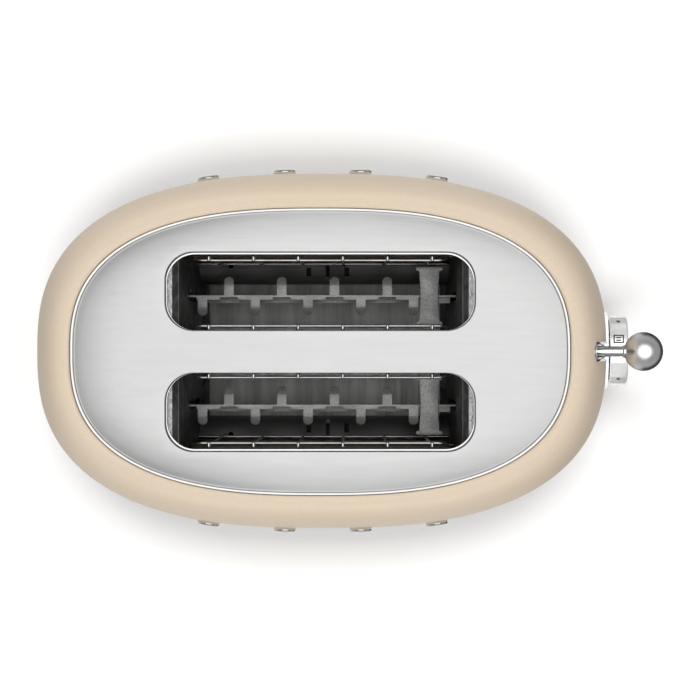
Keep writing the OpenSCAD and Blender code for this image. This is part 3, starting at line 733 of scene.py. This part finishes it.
def top_plate():
    """The domed deck with a rolled lip round each slot."""
    build = Build()
    deck_face(build)
    shaded_wall_faces, polished = [], []
    for y in (-SLOT_Y, SLOT_Y):
        dark, bright = slot_lip(build, y)
        shaded_wall_faces += dark
        polished += bright
    build.add([oval(DECK_A, DECK_B, DECK_Z - drop * MM, DECK_POINTS) for drop in (0, 0.3, 1)])
    build.verts = [domed(v) for v in build.verts]
    obj = stand_for(build.done("top_plate_formed"), "top_plate")
    # The lip's wall takes the dark finish of painted shade; its foot is polished
    for slot, (finish, marked) in enumerate((("lip", polished), ("lip_wall_painted_shade", shaded_wall_faces)), 1):
        obj.data.materials.append(FINISH[finish])
        for i in marked:
            obj.data.polygons[i].material_index = slot


# ---------- rings and feet ----------
def hoop(node, profile):
    """A closed ring of ovals: profile is (drawn in from the node's box, height) points."""
    lo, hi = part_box(node)
    a, b = (hi.x - lo.x) / 2, (hi.y - lo.y) / 2
    rings = [oval(a - d, b - d, z) for d, z in profile]
    return Build().add(rings, close_profile=True).done(node + "_formed", 45)


def top_trim_ring():
    """The bright ring round the deck: its edges are rounded, and a flange runs under the deck."""
    top, low = ring_hi.z, ring_lo.z
    width, edge, flange = 1.2 * MM, 0.22 * MM, 2.6 * MM
    profile = [(0, low)]
    profile += arc(edge, top - edge, edge, math.pi, math.pi / 2, 5)
    profile += arc(width - edge, top - edge, edge, math.pi / 2, 0, 5)
    profile += [(width, low + 1.1 * MM), (width + flange, low + 1 * MM), (width + flange, low)]
    stand_for(hoop("top_trim_ring", profile), "top_trim_ring")


def base_band():
    """The polished band round the base, open at the rear for the crumb tray's neck."""
    lo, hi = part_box("base_band")
    low, top, sheet_t = lo.z, hi.z, 1.2 * MM
    edge = ((0.5 * MM, 0), (0.15 * MM, 0.15 * MM), (0, 0.6 * MM))
    profile = [(d, low + h) for d, h in edge]
    profile += [(d, top - h) for d, h in edge[::-1]]
    profile += [(sheet_t, top), (sheet_t, low)]
    obj = hoop("base_band", profile)
    handle_lo, handle_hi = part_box("tray_handle")
    tray_lo, tray_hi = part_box("crumb_tray")
    right, left = handle_lo.y + 2.5 * MM, handle_hi.y - 2.5 * MM
    foot_z, head_z = tray_lo.z - 0.6 * MM, tray_hi.z + 0.9 * MM
    opening = [(right, foot_z), (left, foot_z), (left, head_z), (right, head_z)]
    cut(obj, prism_x(opening, CX - 170 * MM, CX - 100 * MM))
    stand_for(obj, "base_band")


def foot(node):
    """A rubber foot: a dished sole, a rounded edge, a groove and the stem that holds it."""
    lo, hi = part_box(node)
    c = (lo + hi) / 2
    r = (hi.x - lo.x) / 2
    edge, groove, stem = 1 * MM, 0.4 * MM, 4 * MM
    profile = [(0, 0.6 * MM), (r * 0.45, 0.6 * MM), (r * 0.5, 0), (r - 1.2 * MM, 0)]
    profile += arc(r - edge, edge, edge, math.radians(-80), 0, 5)
    profile += [(r, 4.2 * MM), (r - groove, 4.6 * MM), (r - groove, 5.9 * MM)]
    profile += [(stem, 5.95 * MM), (stem, 8.5 * MM), (5.2 * MM, 8.6 * MM)]
    profile += [(3 * MM, hi.z), (0, hi.z)]
    place = Matrix.Translation((c.x, c.y, 0))
    stand_for(lathe(Build(), profile, place, 72).done(node + "_formed", 40), node)


# ---------- lever and slot trim ----------
ROD_R, COLLAR_R = 2.6 * MM, 3.1 * MM


def rounded_outline(half_y, z0, z1, r):
    """A rounded rectangle, as (y, z) points."""
    outline = []
    for k, (side, z) in enumerate(((1, z1 - r), (-1, z1 - r), (-1, z0 + r), (1, z0 + r))):
        turn = (k * math.pi / 2, (k + 1) * math.pi / 2)
        outline += arc(side * (half_y - r), z, r, *turn, 6)
    return outline


def lever():
    """The ball on its collared rod, and the plate behind the wall that the rod stands on."""
    ball_lo, ball_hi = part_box("lever_ball")
    arm_lo, arm_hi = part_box("lever_arm")
    c, r = (ball_lo + ball_hi) / 2, (ball_hi.z - ball_lo.z) / 2
    centre = Vector((ball_hi.x - r, 0, c.z))
    east = Vector((0, 0, 1)).rotation_difference(Vector((1, 0, 0))).to_matrix().to_4x4()
    place = Matrix.Translation(centre) @ east
    start = -math.sqrt(r * r - 1.6 * ROD_R * ROD_R)  # where the rod's collar meets the ball
    profile = [(0, start + 1 * MM), (ROD_R * 1.02, start + 0.8 * MM), (ROD_R * 1.2, start)]
    first = math.asin(start / r) + math.radians(4)
    profile += arc(0, 0, r, first, math.pi / 2, 48)
    obj = lathe(Build(), profile, place).done("lever_ball_formed", 40)
    stand_for(obj, "lever_ball", material=FINISH["ball"])

    plate = 2 * MM
    length = centre.x + start - arm_lo.x
    rod = [(0, plate / 2), (ROD_R, plate / 2), (ROD_R, length - 1.5 * MM)]
    rod += [(COLLAR_R, length - 1 * MM), (COLLAR_R, length + 0.1 * MM), (0, length + 0.3 * MM)]
    build = Build()
    lathe(build, rod, place @ Matrix.Translation((0, 0, arm_lo.x - centre.x)), 48)
    outline = rounded_outline(arm_hi.y, arm_lo.z, arm_hi.z, 1.5 * MM)
    build.add([[(x, y, z) for y, z in outline] for x in (arm_lo.x, arm_lo.x + plate)], caps=True)
    stand_for(build.done("lever_arm_formed", 40), "lever_arm")


def lever_slot_trim():
    """A half-round chrome bead that follows the wall round the lever's slot."""
    half, height, foot_h, depth = SLOT_TRIM_W / 2, 0.55 * MM, 0.1 * MM, 3.2 * MM
    section = [(0, -depth), (0, foot_h)]
    section += [
        (half - half * math.cos(t), 0.15 * MM + height * math.sin(t))
        for t in np.linspace(0, math.pi, 9)
    ]
    section += [(SLOT_TRIM_W, foot_h), (SLOT_TRIM_W, -depth)]
    outline = stadium(SLOT_R, SLOT_FOOT, SLOT_TOP)
    rings = []
    for inset, out in section:
        ring = []
        for (y, z), (ny, nz) in outline:
            x, z_out = wall_out(z - nz * inset, out)
            ring.append((CX + x, y - ny * inset, z_out))
        rings.append(ring)
    obj = Build().add(rings, close_profile=True).done("lever_slot_trim_formed", 45)
    stand_for(obj, "lever_slot_trim")


# ---------- dial, in its own frame ----------
DIAL_SIDES = 128
KNOB_R, KNOB_TOP, KNOB_FOOT = 19.2 * MM, 14 * MM, 4.2 * MM


def turned(node, profile):
    """A closed profile turned about the dial's axis, in place of a CAD node."""
    build = lathe(Build(), profile, DIAL, DIAL_SIDES, closed=True)
    stand_for(build.done(node + "_formed", 40), node)


def dial_bezel():
    """A chrome cup in the wall behind the dial, with a hole for the dial's stem."""
    r, well_r, hole_r, edge = BEZEL_R, 17 * MM, 4.7 * MM, 0.6 * MM
    face, inside, back = 1.3 * MM, -6 * MM, -7.5 * MM
    profile = [(well_r, inside), (well_r, face - 0.3 * MM)]
    profile += [(well_r + 0.3 * MM, face), (r - edge, face)]
    profile += arc(r - edge, face - edge, edge, 1.4, 0, 6)
    profile += [(r, back), (hole_r, back), (hole_r, inside)]
    turned("dial_bezel", profile)


def dial_light_ring():
    """The pale ring on the bezel's face."""
    r, hole_r, edge = BEZEL_R - 0.3 * MM, 12 * MM, 0.7 * MM
    foot_z, side_z = 1.32 * MM, 2.7 * MM
    profile = [(hole_r, foot_z), (r, foot_z), (r, side_z)]
    profile += arc(r - edge, side_z, edge, 0.2, math.pi / 2, 6)
    profile += [(hole_r, side_z + edge)]
    turned("dial_light_ring", profile)


def dial_knob():
    """A cap with a dished face, and the hub inside it that fits the stem."""
    r, edge, dish, roof = KNOB_R, 1.6 * MM, 0.7 * MM, 12 * MM
    profile = [(0, roof), (r - 2.5 * MM, roof), (r - 2.5 * MM, KNOB_FOOT)]
    profile += [(r - 0.4 * MM, KNOB_FOOT), (r, KNOB_FOOT + 0.4 * MM)]
    profile += [(r, 6 * MM), (r, 9 * MM), (r, KNOB_TOP - edge)]
    profile += arc(r - edge, KNOB_TOP - edge, edge, 0.15, math.pi / 2, 8)
    profile += [(r - edge - 1.2 * MM, KNOB_TOP)]
    face_r = r - edge - 1.6 * MM
    profile += [(k * face_r, KNOB_TOP - dish * (1 - k * k)) for k in np.linspace(1, 0, 12)]
    build = lathe(Build(), profile, DIAL, DIAL_SIDES)
    hub, bore = 5.5 * MM, 3 * MM
    section = [(hub, KNOB_FOOT), (hub, roof), (bore, roof), (bore, KNOB_FOOT)]
    lathe(build, section, DIAL, 48, closed=True)
    stand_for(build.done("dial_knob_formed", 40), "dial_knob", material=FINISH["knob"])


# The square mark's place round the knob and the spacing of the dots, in degrees
MARK_AT, DOT_STEP = 161, 36
# Half widths, a line's width, and the bars' places and width, in radians round the knob
MARK_HALF, DOT_HALF, LINE_W = 0.125, 0.045, 0.036
BARS, BAR_W = (-0.055, 0.02), 0.035
# Where the mark and the dots lie up the knob's side, a line's height and the bars' inset, in mm
MARK_Z, DOT_Z, LINE_H, BAR_INSET = (6.0, 11.6), (8, 9.8), 0.7, 1.5
INK_PROUD, INK_SUNK = 0.04 * MM, 0.1 * MM


def dial_marks():
    """A plain square mark with two bars in it, and dots, round the knob's side."""
    marks = Build()

    def strip(a0, a1, z0, z1):
        patch = []
        for z in (z0, z1):
            outer, inner = (
                [(k * math.cos(a), k * math.sin(a), z * MM) for a in np.linspace(a0, a1, 5)]
                for k in (KNOB_R + INK_PROUD, KNOB_R - INK_SUNK)
            )
            patch.append(placed(outer + inner[::-1], DIAL))
        marks.add(patch, caps=True)

    middle, (z0, z1) = math.radians(MARK_AT), MARK_Z
    strip(middle - MARK_HALF, middle - MARK_HALF + LINE_W, z0, z1)
    strip(middle + MARK_HALF - LINE_W, middle + MARK_HALF, z0, z1)
    for z in (z0, z1 - LINE_H):
        strip(middle - MARK_HALF, middle + MARK_HALF, z, z + LINE_H)
    for a in BARS:
        strip(middle + a, middle + a + BAR_W, z0 + BAR_INSET, z1 - BAR_INSET)
    for turn in range(2 * DOT_STEP, 360, DOT_STEP):
        a = middle + math.radians(turn)
        strip(a - DOT_HALF, a + DOT_HALF, *DOT_Z)
    obj = marks.done("dial_marks", 40)
    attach(obj, BODY_OF["dial_knob"])
    obj.data.materials.append(FINISH["ink"])


# ---------- side studs ----------
def islands(bm):
    """The points of each connected piece of a mesh."""
    seen = set()
    for start in bm.verts:
        if start in seen:
            continue
        seen.add(start)
        island = [start]
        for v in island:
            for near in (e.other_vert(v) for e in v.link_edges):
                if near not in seen:
                    seen.add(near)
                    island.append(near)
        yield np.array([tuple(v.co) for v in island])


def side_studs():
    """Shallow domed studs, each square to the wall behind it."""
    build = Build()
    bm = bmesh.new()
    bm.from_mesh(frame["nodes"]["side_studs"].data)
    bmesh.ops.remove_doubles(bm, verts=bm.verts, dist=WELD)
    for pts in islands(bm):
        c = pts.mean(0)
        axis = np.linalg.svd(pts - c)[2][2]
        outward = 1 if axis[1] * c[1] > 0 else -1
        axis = axis * outward
        along = (pts - c) @ axis
        foot_at = Vector(c + axis * along.min())
        r = float(np.max(np.linalg.norm(pts - c - np.outer(along, axis), axis=1)))
        h = float(along.max() - along.min())
        turn = Vector((0, 0, 1)).rotation_difference(Vector(axis)).to_matrix().to_4x4()
        profile = [(0, 0), (r - 0.2 * MM, 0), (r, 0.2 * MM), (r, h * 0.55)]
        profile += [
            (r * (0.86 + 0.14 * math.cos(a)), h * (0.55 + 0.36 * math.sin(a)))
            for a in np.linspace(0.2, math.pi / 2, 6)
        ]
        profile += [(k * r * 0.84, h * (0.92 + 0.08 * (1 - k * k))) for k in np.linspace(0.9, 0, 7)]
        lathe(build, profile, Matrix.Translation(foot_at) @ turn, 64)
    bm.free()
    stand_for(build.done("side_studs_formed", 45), "side_studs")


# ---------- inside the slots ----------
WIRE_R = 0.8 * MM
GUARD_PITCH = 21.8 * MM
CROSS_STEP = 1.4 * MM  # between the middles of an upright and of a cross wire
TOP_LEAN, LEAN_H = 0.9 * MM, 14 * MM  # the uprights bend away from the bread near their tops
HOOK_TURN, HOOK_TO = 0.82 * MM, (1.6 * MM, 2.5 * MM)
UPPER_HALF, MIDDLE_HALF, MIDDLE_Z = 62.5 * MM, 58 * MM, 128 * MM
TAIL, TAIL_OUT, TAIL_DROP = 5 * MM, 1.6 * MM, 3 * MM  # the upper cross wire's bent ends


def guard(place):
    """Six hooked uprights, tied by three cross wires."""
    node = "guard_" + place
    lo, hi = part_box(node)
    slot = math.copysign(SLOT_Y, (lo.y + hi.y) / 2)
    out = 1 if (lo.y + hi.y) / 2 > slot else -1
    y = (hi.y if out > 0 else lo.y) - out * (CROSS_STEP + WIRE_R)
    head, top = y + out * TOP_LEAN, hi.z - WIRE_R
    build = Build()
    for k in (-2.5, -1.5, -0.5, 0.5, 1.5, 2.5):
        x = CX + k * GUARD_PITCH
        path = [(x, y, z) for z in np.linspace(lo.z + 0.2 * MM, top - LEAN_H, 18)]
        path += [
            (x, y + out * TOP_LEAN * s * s, top - LEAN_H + (LEAN_H - HOOK_TURN) * s)
            for s in np.linspace(0, 1, 9)[1:]
        ]
        path += [
            (x, head - out * HOOK_TURN * (1 - math.cos(a)), top - HOOK_TURN + HOOK_TURN * math.sin(a))
            for a in np.linspace(0.3, math.pi / 2, 6)
        ]
        path += [(x, head - out * d, top) for d in HOOK_TO]
        tube(build, path, WIRE_R)

    bread_side, far_side, z = y - out * CROSS_STEP, y + out * CROSS_STEP, hi.z - 4 * MM
    straight = UPPER_HALF - TAIL
    tail = [
        (straight + TAIL * s, bread_side + out * TAIL_OUT * s * s, z - TAIL_DROP * s * s)
        for s in np.linspace(0, 1, 8)[1:]
    ]
    path = [(CX - tx, ty, tz) for tx, ty, tz in tail[::-1]]
    path += [(CX + x, bread_side, z) for x in np.linspace(-straight, straight, 30)]
    path += [(CX + tx, ty, tz) for tx, ty, tz in tail]
    tube(build, path, WIRE_R)
    foot_half = (hi.x - lo.x) / 2 - WIRE_R
    for half, z in ((MIDDLE_HALF, MIDDLE_Z), (foot_half, lo.z + 1 * MM)):
        tube(build, [(CX + x, far_side, z) for x in np.linspace(-half, half, 40)], WIRE_R)
    stand_for(build.done(node + "_formed", 60), node)


SPRING_WIRE_R, SPRING_TURNS, POINTS_A_TURN = 0.5 * MM, 10, 24
DEAD_END = 0.08  # the share of a spring's wire that lies flat at each end


def spring(node):
    """A lift spring with closed ends, squashed by the carriage."""
    lo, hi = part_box(node)
    c = (lo + hi) / 2
    r = (hi.x - lo.x) / 2 - SPRING_WIRE_R
    z0, z1 = lo.z + SPRING_WIRE_R, hi.z - SPRING_WIRE_R
    t = np.linspace(0, 1, SPRING_TURNS * POINTS_A_TURN + 1)
    rise = 0.02 * t + 0.98 * np.clip((t - DEAD_END) / (1 - 2 * DEAD_END), 0, 1)
    turn = 2 * math.pi * SPRING_TURNS * t
    path = [
        (c.x + r * math.cos(a), c.y + r * math.sin(a), z0 + (z1 - z0) * e)
        for a, e in zip(turn, rise)
    ]
    obj = stand_for(tube(Build(), path, SPRING_WIRE_R, 10).done(node + "_formed", 60), node)
    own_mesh(obj)


# ---------- sheet metal and small pieces: the CAD form with rounded edges, in mm ----------
EDGES = {
    "bread_rail_left": 0.35, "bread_rail_right": 0.35,
    "rail_saddle_left": 0.25, "rail_saddle_right": 0.25,
    "carriage_bridge": 0.4, "armature_plate": 0.3,
    "bulkhead_lever_end": 0.2, "bulkhead_rear_end": 0.2,
    "crumb_deflector_left": 0.15, "crumb_deflector_right": 0.15, "centre_ridge": 0.2,
    "chassis_floor": 0.2, "crumb_tray": 0.2, "tray_handle": 0.35,
    "base_plate": 0.35, "cord_wrap_hooks": 0.5, "cord_gland": 0.5,
    "guide_top_bracket": 0.3, "terminal_block": 0.5, "control_board": 0.2,
    "board_components": 0.5, "electromagnet": 0.3, "base_screws": 0.25,
    "outer_reflector_left": 0.1, "outer_reflector_right": 0.1, "bus_bars": 0.2,
    "dial_encoder": 0.3,
}
# Parts whose rounded edges are bright: wear, and painted highlights
WORN_AND_HIGHLIT = ("bread_rail", "rail_saddle")
# Above FLANGE_Z and beyond FLANGE_X the end walls take the lighter flange finish: painted light, with scuffs
FLANGE_Z, FLANGE_X = 185.5 * MM, 72 * MM
UNDER_DECK = 2.7 * MM


def end_wall_flange(node):
    """Gives the top of a chamber's end wall a scuffed finish painted lighter as lit faces, and keeps its tabs
    under the domed deck.
    """
    mesh = bpy.data.objects[node + "_formed"].data
    mesh.materials.append(FINISH["flange"])
    # Top faces near the ends take the lighter finish: painted light, with scuffs
    for face in mesh.polygons:
        if face.center.z > FLANGE_Z and abs(face.center.x - CX) > FLANGE_X:
            face.material_index = 1
    for v in mesh.vertices:
        v.co.z = min(v.co.z, DECK_Z - UNDER_DECK)


body_shell()
top_plate()
top_trim_ring()
base_band()
for where in ("front_left", "front_right", "rear_left", "rear_right"):
    foot("foot_" + where)
lever()
lever_slot_trim()
dial_bezel()
dial_light_ring()
dial_knob()
dial_marks()
side_studs()
for place in ("outer_left", "inner_left", "inner_right", "outer_right"):
    guard(place)
for side in ("left", "right"):
    spring("lift_spring_" + side)
# Rails and saddles get bright edges: wear with painted highlights
for node, width in EDGES.items():
    formed(node, width * MM, edge="worn_edge_painted_highlight" if node.startswith(WORN_AND_HIGHLIT) else None)
for end in ("lever_end", "rear_end"):
    end_wall_flange("bulkhead_" + end)
for name, obj in frame["nodes"].items():
    if not obj.hide_render:
        obj.data.materials.clear()
        obj.data.materials.append(FINISH[SLOT_OF[name]])


# ---------- studio, in metres and watts ----------
FLOOR_SIZE, FLOOR_TONE = 8.0, (0.88, 0.88, 0.88)
# The room's brightness from straight down (0) to straight up (1), as the chrome sees it
SKY = ((0, 0.8), (0.25, 0.55), (0.45, 0.38), (0.6, 0.32), (0.75, 0.22), (1, 0.2))
# A dark half ring under the floor: its inner and outer radius about the ball, and its depth
CARD, CARD_SIDES, CARD_DEPTH = (0.09, 0.6), 48, 2 * MM


def floor_plane():
    """A plain pale floor that the chrome doesn't mirror."""
    h = FLOOR_SIZE / 2
    corners = [(-h, -h, 0), (h, -h, 0), (h, h, 0), (-h, h, 0)]
    obj = mesh_object("floor", corners, [[0, 1, 2, 3]])
    n = Nodes("floor", FLOOR_TONE, 0.0, 0.6)
    n.colour(n.noise(6, detail=3), shade(FLOOR_TONE, 0.995), shade(FLOOR_TONE, 1.0))
    n.rough(n.noise(20), 0.55, 0.65)
    obj.data.materials.append(n.material)
    obj.visible_glossy = False
    return obj


def softbox(name, location, target, size, power, shape="RECTANGLE"):
    """An area light that looks from its place to its target."""
    light = bpy.data.lights.new(name, "AREA")
    light.shape = shape
    light.size, light.size_y = size
    light.energy = power
    obj = bpy.data.objects.new(name, light)
    bpy.context.scene.collection.objects.link(obj)
    obj.location = location
    obj.rotation_mode = "QUATERNION"
    obj.rotation_quaternion = (Vector(target) - Vector(location)).to_track_quat("-Z", "Y")
    return obj


def main_lights(floor):
    """A soft light overhead, two fills, and lights at the sides and ends that spare the floor."""
    softbox("overhead", (0.22, 0, 2.2), (0.22, 0, 0), (2.4, 1.75), 10.4, "ELLIPSE")
    off_floor = bpy.data.collections.new("lit_by_the_sides")
    off_floor.objects.link(floor)
    off_floor.collection_objects[0].light_linking.link_state = "EXCLUDE"
    for side in (-1, 1):
        fill = softbox("fill", (0, side * 0.52, 3.0), (0, 0, 0), (0.6, 0.4), 39)
        at_side = softbox("side", (0, side * 2.0, 0.9), (0, 0, 0.1), (2.4, 1.2), 44)
        at_end = softbox("end", (side * 2.0, 0, 0.9), (0, 0, 0.1), (1.6, 1.2), 10)
        for light in (fill, at_side, at_end):
            light.visible_glossy = False
        for light in (at_side, at_end):
            light.light_linking.receiver_collection = off_floor


def dark_card():
    """A card that only reflections see, for the dark side of the lever's and dial's chrome."""
    lo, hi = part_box("lever_ball")
    centre = (lo + hi) / 2
    turn = np.linspace(-math.pi / 2, math.pi / 2, CARD_SIDES + 1)
    points = [
        (centre.x + r * math.cos(a), r * math.sin(a), -CARD_DEPTH) for r in CARD for a in turn
    ]
    outer = CARD_SIDES + 1
    faces = [[i, i + 1, outer + i + 1, outer + i] for i in range(CARD_SIDES)]
    card = mesh_object("dark_card", points, faces)
    n = Nodes("dark_card", (0.01, 0.01, 0.01), 0.0, 1.0)
    n.colour(n.noise(20), (0.008, 0.008, 0.008), (0.012, 0.012, 0.012))
    card.data.materials.append(n.material)
    card.visible_camera = card.visible_diffuse = card.visible_shadow = False


def lever_light():
    """A light for the chrome at the lever's end alone."""
    near_lever = bpy.data.collections.new("lit_at_the_lever")
    for name in ("lever_ball", "lever_arm", "dial_knob"):
        near_lever.objects.link(bpy.data.objects[name + "_formed"])
    light = softbox("lever_light", (0.16, 0, 1.4), (0.16, 0, 0), (2.2, 2.2), 12, "ELLIPSE")
    light.light_linking.receiver_collection = near_lever


def room():
    """The world: grey, and paler towards the ground."""
    world = bpy.data.worlds.new("studio")
    world.use_nodes = True
    tree = world.node_tree
    ramp = tree.nodes.new("ShaderNodeValToRGB")
    for at, _ in SKY[1:-1]:
        ramp.color_ramp.elements.new(at)
    for element, (at, level) in zip(ramp.color_ramp.elements, SKY):
        element.position, element.color = at, (level, level, level, 1)
    height = tree.nodes.new("ShaderNodeSeparateXYZ")
    share = tree.nodes.new("ShaderNodeMapRange")
    share.inputs["From Min"].default_value = -1
    coords = tree.nodes.new("ShaderNodeTexCoord")
    tree.links.new(coords.outputs["Generated"], height.inputs[0])
    tree.links.new(height.outputs["Z"], share.inputs["Value"])
    tree.links.new(share.outputs["Result"], ramp.inputs["Fac"])
    tree.links.new(ramp.outputs["Color"], tree.nodes["Background"].inputs["Color"])
    return world


main_lights(floor_plane())
dark_card()
lever_light()
scene = bpy.context.scene
scene.world = room()
scene.view_settings.view_transform = "Standard"

# The camera looks down from just beside the middle, about a third of a degree off straight
FOCAL_MM, SENSOR_MM = 99.0, 36.0
CAMERA_Z = 1.125
CAMERA_BESIDE = (0.0144, 0.006)
CAMERA_TILT = -0.0055  # radians

camera_data = bpy.data.cameras.new("camera")
camera_data.lens, camera_data.sensor_width = FOCAL_MM, SENSOR_MM
camera_data.clip_start = 0.01
camera = bpy.data.objects.new("camera", camera_data)
scene.collection.objects.link(camera)
camera.location = (CX + CAMERA_BESIDE[0], CAMERA_BESIDE[1], CAMERA_Z)
camera.rotation_euler = (CAMERA_TILT, 0, 0)
scene.camera = camera
